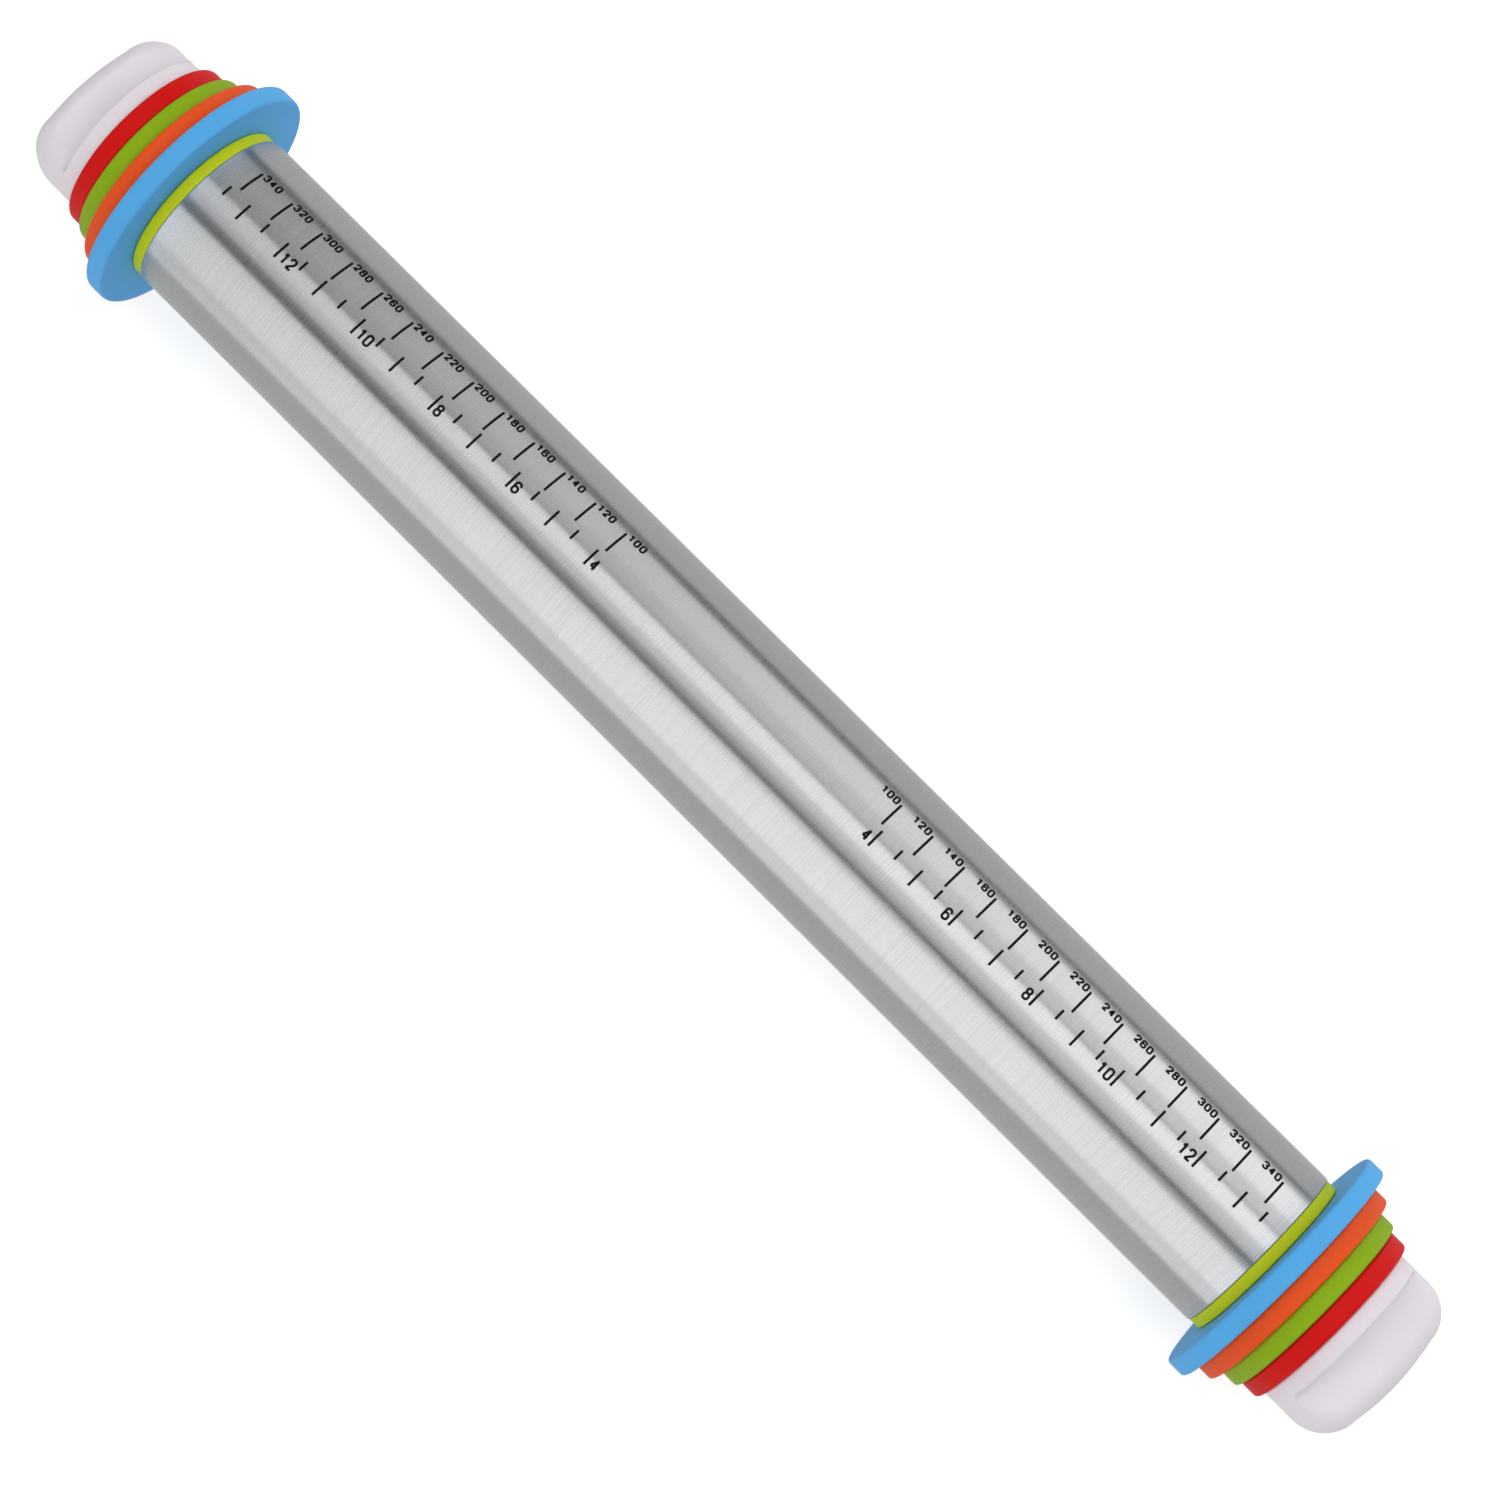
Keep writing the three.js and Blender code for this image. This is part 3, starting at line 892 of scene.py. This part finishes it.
# %% The end plugs
def plug_mesh(name):
    """The plug as one grid from the boss's closed end to the bottom of the socket."""
    turn = angles(RING_COLUMNS)
    whole = np.ones(len(turn))
    boss = STUD_RADIUS + THREAD_GAP + BOSS_WALL
    relief = STUD_RADIUS + THREAD_GAP + SOCKET_RELIEF
    nut_end = CAP_FACE - NUT_LENGTH
    bottom = PLUG_START + BOSS_END_WALL
    floor, floor_radii = ribbed_floor(turn, boss)
    thread_along = np.append(np.arange(CAP_FACE, nut_end, -THREAD_ROW), nut_end)
    thread = thread_radius(thread_along, turn, THREAD_GAP)

    parts = [(PLUG_START * whole, boss * whole)]
    parts += [(PLUG_START + (floor[0] - PLUG_START) * s, boss * whole) for s in (0.5, 1)]
    parts += [(x, r * whole) for x, r in zip(floor[1:], floor_radii[1:])]
    parts += [(floor[-1] + (SKIRT_END - floor[-1]) * 0.5, SKIRT_INSIDE * whole)]
    parts += [(x * whole, r * whole) for x, r in plug_outside()]
    parts += [(CAP_FACE * whole, CAP_RADIUS + (thread[0] - CAP_RADIUS) * s) for s in (0.4, 0.8)]
    parts += [(x * whole, r) for x, r in zip(thread_along, thread)]
    parts += [(nut_end * whole, relief * whole), (bottom * whole, relief * whole)]
    along, radius = (np.array(grid) for grid in zip(*parts))
    return surface_mesh(name, along, radius, poles=(PLUG_START, bottom))


for side in SIDES:
    mesh = plug_mesh(f"lime_plug_{side}")
    add_piece(mesh, side, "roller", [f"end_plug_{side}"], LIME)

# %% [markdown]
# ## The studs
#
# The stud is a hollow plastic screw. Its six-sided root sits in the handle, so it can't
# turn there, and the stud screw goes through its shoulder. Its profile is a closed
# loop: thread, root, screw hole, shoulder, bore.

# %% The studs
STUD_BORE = 4.5
STUD_SHOULDER = 6.0
ROOT_RADIUS = 12.0
ROOT_THICKNESS = 2.5
SCREW_HOLE = 2.15

stud_start, stud_stop = span_of("stud_right")
HANDLE_FACE = stud_stop - ROOT_THICKNESS


def stud_mesh(name):
    """The stud as one grid that closes on itself. The thread starts with a cone, whose
    radius grows as fast as its place moves along."""
    turn = angles(THREAD_COLUMNS)
    whole = np.ones(len(turn))
    along = np.append(np.arange(stud_start, HANDLE_FACE, THREAD_ROW), HANDLE_FACE)
    core = STUD_RADIUS - THREAD_DEPTH
    lead = (core + np.clip(along - stud_start, 0, 2 * THREAD_DEPTH))[:, None]
    thread = np.minimum(thread_radius(along, turn), lead)
    shoulder = HANDLE_FACE - STUD_SHOULDER
    hexagon = hexagon_radius(turn, ROOT_RADIUS)
    parts = [(x * whole, r) for x, r in zip(along, thread)]
    parts += [(x * whole, hexagon) for x in (HANDLE_FACE, stud_stop)]
    parts += [
        (stud_stop * whole, SCREW_HOLE * whole),
        (shoulder * whole, SCREW_HOLE * whole),
        (shoulder * whole, STUD_BORE * whole),
        (stud_start * whole, STUD_BORE * whole),
    ]
    return surface_mesh(name, *(np.array(grid) for grid in zip(*parts)))


for side in SIDES:
    mesh = stud_mesh(f"white_stud_{side}")
    add_piece(mesh, side, f"handle_{side}", [f"stud_{side}"], WHITE)

# %% [markdown]
# ## The handles
#
# A handle is a moulded knob with a round flange, scooped on two sides to a finger grip.
# Every edge where a scoop meets the knob is softly rounded, and those edges are curved
# in space, where a Bevel modifier makes uneven strips. So the handle is written as a
# distance function instead: negative inside, positive outside. Two shapes cross in a
# rounded edge of any radius with one short formula. Each point of the grid is then
# found on a ray from the middle of the flange, by halving the step to the surface.

# %% The handle's shape as a distance
TINY = 1e-9
FLANGE = 4.5
HANDLE_EDGE = 0.6
LIP_EDGE = 0.6
TIP_EDGE = 6.6
CORNER_LENGTH = 9.7
CORNER_DEPTH = 9.0
DOME = 1.3
WAIST = 7.9
TIP = 8.6
SCOOP_FILLET = 1.6

HANDLE_RADIUS = radius_of("handle_right")
HANDLE_LENGTH = span_of("handle_right")[1] - HANDLE_FACE


def crossed(a, b, rounding):
    """The distance to what two shapes have in common, with its edge rounded. Both shapes
    are made smaller by the rounding. Where a point is outside of both, its two distances
    are the sides of a right angle, and otherwise the larger one counts."""
    beyond = np.hypot(np.maximum(a + rounding, 0), np.maximum(b + rounding, 0))
    return np.minimum(np.maximum(a, b), -rounding) + beyond


def knob_distance(x, radius):
    """The round knob: a cylinder, a slightly domed end, and a corner that is a quarter of
    an ellipse, whose distance is its size less one over the slope of that size."""
    corner_start = HANDLE_LENGTH - DOME - CORNER_LENGTH
    dome_radius = HANDLE_RADIUS - CORNER_DEPTH
    dome = x - HANDLE_LENGTH + DOME * (radius / dome_radius) ** 2
    a = (x - corner_start) / CORNER_LENGTH
    b = (radius - dome_radius) / CORNER_DEPTH
    size = np.hypot(a, b) + TINY
    slope = np.hypot(a / CORNER_LENGTH, b / CORNER_DEPTH) / size
    corner = (size - 1) / (slope + TINY)
    plain = np.maximum(radius - HANDLE_RADIUS, dome)
    return crossed(np.where((a > 0) & (b > 0), corner, plain), -x, HANDLE_EDGE)


def handle_distance(x, radius, turn):
    """The knob without its two scoops. A scoop is beyond the flange and above the waist.
    The rounding of the grip's edge grows from the lip to the tip."""
    share = np.clip((x - FLANGE - SCOOP_FILLET) / (HANDLE_LENGTH - FLANGE - SCOOP_FILLET), 0, 1)
    waist = WAIST + (TIP - WAIST) * share ** 2
    height = np.abs(radius * np.sin(turn))
    scoop = crossed(FLANGE - x, waist - height, SCOOP_FILLET)
    edge = LIP_EDGE + (TIP_EDGE - LIP_EDGE) * share
    return crossed(knob_distance(x, radius), -scoop, edge)


print(f"a handle is {2 * HANDLE_RADIUS:.1f} mm across and {HANDLE_LENGTH:.1f} mm long")

# %% The handles
HANDLE_COLUMNS = 320
HALVINGS = 44
POCKET_DEPTH = 2.7
POCKET_RADIUS = 12.2
HOLE_DEPTH = 12.05
FACE_RADIUS = 16.0
# Bands of rays, as degrees from the handle's tip, from and to, and the number of rays:
# the flat inner face, its rim, the flange, the scoop's wall, the grip and its end.
RAY_BANDS = [
    (98, 96.2, 4), (96.2, 93.8, 16), (93.8, 86.5, 8), (86.5, 76, 56), (76, 24, 130), (24, 1, 26)
]


def handle_mesh(name):
    """The pocket and the screw hole as plain rows, then the outside on rays."""
    turn = angles(HANDLE_COLUMNS)
    rays = np.concatenate([np.linspace(a, b, n, endpoint=False) for a, b, n in RAY_BANDS] + [[1]])
    rays = np.radians(rays)[:, None]
    centre = FLANGE / 2
    near = np.zeros((len(rays), len(turn)))
    far = np.full_like(near, 2 * HANDLE_RADIUS)
    for _ in range(HALVINGS):
        middle = (near + far) / 2
        inside = handle_distance(centre + middle * np.cos(rays), middle * np.sin(rays), turn) < 0
        near, far = np.where(inside, middle, near), np.where(inside, far, middle)
    x, radius = centre + near * np.cos(rays), near * np.sin(rays)

    whole = np.ones(len(turn))
    hexagon = hexagon_radius(turn, POCKET_RADIUS)
    parts = [(HOLE_DEPTH * whole, SCREW_HOLE * whole), (POCKET_DEPTH * whole, SCREW_HOLE * whole)]
    parts += [(POCKET_DEPTH * whole, hexagon), (0 * whole, hexagon)]
    parts += [(0 * whole, (hexagon + FACE_RADIUS) / 2), *zip(x, radius)]
    along, radii = (np.array(grid) for grid in zip(*parts))
    poles = (HANDLE_FACE + HOLE_DEPTH, HANDLE_FACE + HANDLE_LENGTH)
    return surface_mesh(name, along + HANDLE_FACE, radii, poles)


for side in SIDES:
    mesh = handle_mesh(f"white_handle_{side}")
    add_piece(mesh, side, f"handle_{side}", [f"handle_{side}"], WHITE)

# %% [markdown]
# ## The pieces that stay
#
# The seals and the stud screws are hidden inside the pin, and their plain shapes from
# the construction model are right, so they only get a finish.

# %% Finish the seals and the stud screws
for side in SIDES:
    for node, finish in ((f"plug_seal_{side}", RUBBER), (f"stud_screw_{side}", SCREW_STEEL)):
        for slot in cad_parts[node].material_slots:
            slot.material = finish
        print(node, "is", finish.name)

# %% [markdown]
# ## Table and backdrop
#
# The pin lies on a light table, a sheet of white acrylic that is lit from below, which
# keeps its shadow faint. A round white wall stands far behind it for the low views.
# Steel would mirror both of them and lose its shape in white, so neither is seen in
# reflections, and the wall lets the room's light through.

# %% The table and the backdrop
TABLE_RADIUS = 6
TABLE_DROP = 0.00021
TABLE_GLOW = 0.45
WALL_HEIGHT = 5
WALL_GLOW = 1.0
WALL_SIDES = 96


def add_stage(name, points, faces, colour, glow):
    """A piece of the studio with one white finish that glows a little."""
    mesh = bpy.data.meshes.new(name)
    mesh.from_pydata(points, [], faces)
    finish, _, _ = new_finish(
        f"white_{name}", Roughness=0.6, Base_Color=linear(colour),
        Emission_Color=(1, 1, 1, 1), Emission_Strength=glow,
    )
    mesh.materials.append(finish)
    stage = bpy.data.objects.new(name, mesh)
    stage.visible_glossy = False
    bpy.context.collection.objects.link(stage)
    stage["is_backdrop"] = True
    return stage


turn = angles(WALL_SIDES)
rim = np.stack([np.cos(turn), np.sin(turn), 0 * turn], axis=1) * TABLE_RADIUS
foot = rim - (0, 0, TABLE_DROP)
top = foot + (0, 0, WALL_HEIGHT)
here = np.arange(WALL_SIDES)
there = np.roll(here, -1)
wall_faces = np.stack([there, here, here + WALL_SIDES, there + WALL_SIDES], axis=1).tolist()
add_stage("table", foot, [here.tolist()], "#F4F4F4", TABLE_GLOW)
wall = add_stage("backdrop", np.vstack([foot, top]), wall_faces, "#000000", WALL_GLOW)
wall.visible_diffuse = False
wall.visible_shadow = False
print("the table is", 2 * TABLE_RADIUS, "m wide")

# %% [markdown]
# ## Light
#
# Brushed steel shows what surrounds it. The bands on the tube are long soft lamps that
# run along the pin, and the dark line near its middle is the gap between two of them.
# Where the tube's surface leans over by an angle, it shows the room at twice that angle,
# so each lamp is written as the angles from straight up that it covers. Lamps don't hide
# each other, so where two overlap, their light adds up. Where a lamp ends over the pin
# or beside it, the steel grows darker along the pin. The two edge lamps move the gap
# towards the back on the left half of the pin and towards the front on the right half.
# The thin line near the far side is the strip of room just below the horizon.

# %% The lamps that the steel shows
LAMP_DISTANCE = 2.0
# Name, from and to in degrees from straight up towards -Y, from and to along the pin in
# metres, and radiance.
LAMPS = [
    ("front_lamp", 27, 72, -0.95, 0.9, 1.24),
    ("front_edge_lamp", 19.5, 27, -0.95, 0.15, 1.24),
    ("low_lamp", 72, 96.5, -0.95, 0.9, 0.91),
    ("middle_edge_lamp", 5, 13.5, -0.2, 1.6, 0.81),
    ("middle_lamp", -6, 5, -0.9, 1.6, 0.81),
    ("top_lamp", -27, -6, -0.75, 1.4, 1.31),
    ("back_lamp", -84, -30, -0.6, 1.6, 0.68),
    ("horizon_lamp", -91.5, -50, 0.1, 1.6, 0.5),
    ("right_lamp", -91.5, -26, -0.2, 1.6, 0.22),
]


def add_lamp(name, direction, shift, length, width, radiance):
    """A flat soft box that faces the pin, its length along the pin and shifted along it.
    A lamp's power is its radiance times its area times pi."""
    lamp = bpy.data.lights.new(name, "AREA")
    lamp.shape = "RECTANGLE"
    lamp.size, lamp.size_y = length, width
    lamp.energy = radiance * length * width * math.pi
    holder = bpy.data.objects.new(name, lamp)
    direction = Vector(direction).normalized()
    level = (Vector((1, 0, 0)) - direction * direction.x).normalized()
    holder.location = LAMP_DISTANCE * direction + Vector((shift, 0, AXIS_HEIGHT * MM))
    facing = Matrix([level, direction.cross(level), direction]).transposed()
    holder.rotation_euler = facing.to_euler()
    holder.visible_camera = False
    bpy.context.collection.objects.link(holder)
    return holder


for name, start, stop, left, right, radiance in LAMPS:
    middle = math.radians((start + stop) / 2)
    width = 2 * LAMP_DISTANCE * math.tan(math.radians(stop - start) / 2)
    towards = (0, -math.sin(middle), math.cos(middle))
    add_lamp(name, towards, (left + right) / 2, right - left, width, radiance)
print("hung", len(LAMPS), "lamps")

# %% [markdown]
# These lamps alone would leave the plastic dim. The main lamp for it stands above the
# left end, so the step in the right handle lies in its shade, as in the photograph, and
# a weaker one fills the right end from straight above. Both are kept out of
# reflections, so they add no band to the steel.

# %% The main lamp and its fill
KEY_TOWARDS = (-0.8, 0.4, 1)
KEY_SHIFT = 0.4
KEY_SIZE = 1.6
KEY_RADIANCE = 0.94
FILL_SHIFT = 1.0
FILL_RADIANCE = 1.05

key = add_lamp("key_lamp", KEY_TOWARDS, KEY_SHIFT, KEY_SIZE, KEY_SIZE, KEY_RADIANCE)
fill = add_lamp("fill_lamp", (0, 0, 1), FILL_SHIFT, KEY_SIZE, KEY_SIZE, FILL_RADIANCE)
for lamp in (key, fill):
    lamp.visible_glossy = False
print("the main lamp is", KEY_SIZE, "m wide")

# %% [markdown]
# The room around is grey. It is darker above, where nothing is lit, than below, where
# the table's light comes from. The two meet a few degrees below the horizon, which is
# written as the height of a direction: the sine of its angle. The view transform is set
# to Standard, which shows white as white.

# %% The room
ROOM_ABOVE = 0.1
ROOM_BELOW = 0.52
MEETING_LOW = -0.17
MEETING_HIGH = -0.09

world = bpy.data.worlds.new("studio")
world.use_nodes = True
bpy.context.scene.world = world
room = world.node_tree
towards = add_node(room, "ShaderNodeTexCoord").outputs["Generated"]
height = add_node(room, "ShaderNodeSeparateXYZ", {"Vector": towards}).outputs["Z"]
glow = add_node(room, "ShaderNodeMapRange", {
    "Value": height, "From Min": MEETING_LOW, "From Max": MEETING_HIGH,
    "To Min": ROOM_BELOW, "To Max": ROOM_ABOVE,
}, interpolation_type="SMOOTHSTEP")
room.links.new(glow.outputs[0], room.nodes["Background"].inputs["Strength"])
room.nodes["Background"].inputs["Color"].default_value = (1, 1, 1, 1)
bpy.context.scene.view_settings.view_transform = "Standard"
print("the room gives", ROOM_ABOVE, "from above and", ROOM_BELOW, "from below")

# %% [markdown]
# ## The camera
#
# The picture was taken from almost straight above, a hand's width towards the right end
# of the pin, with a long lens. The camera is turned so that the pin runs from the upper
# left to the lower right.

# %% The camera
LENS = 93.9
CAMERA_DISTANCE = 0.907
CAMERA_TILT = math.radians(5.86)
CAMERA_AIM = 8.5 * MM
PICTURE_TURN = math.radians(44.75)

target = Vector((CAMERA_AIM, 0, AXIS_HEIGHT * MM))
back = Vector((math.sin(CAMERA_TILT), 0, math.cos(CAMERA_TILT)))
along = Vector((math.cos(CAMERA_TILT), 0, -math.sin(CAMERA_TILT)))
across = Vector((0, 1, 0))
right = along * math.cos(PICTURE_TURN) + across * math.sin(PICTURE_TURN)
up = across * math.cos(PICTURE_TURN) - along * math.sin(PICTURE_TURN)

camera = bpy.data.objects.new("camera", bpy.data.cameras.new("camera"))
camera.data.lens = LENS
camera.location = target + back * CAMERA_DISTANCE
camera.rotation_euler = Matrix([right, up, back]).transposed().to_euler()
bpy.context.collection.objects.link(camera)
bpy.context.scene.camera = camera
print("the camera is at", [round(c, 3) for c in camera.location])

# %% [markdown]
# ## Finish
#
# Both boxes, the construction model's and the dressed pin's, are gathered at the end, so that the
# two sizes can be compared. The dressed pin may not outgrow its construction model.

# %% Measure both sizes
low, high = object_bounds()
sizes = {"cad": [list(cad_low), list(cad_high)], "visual": [list(low), list(high)]}
print("visual size in mm:", [round((b - a) * 1000, 1) for a, b in zip(low, high)])
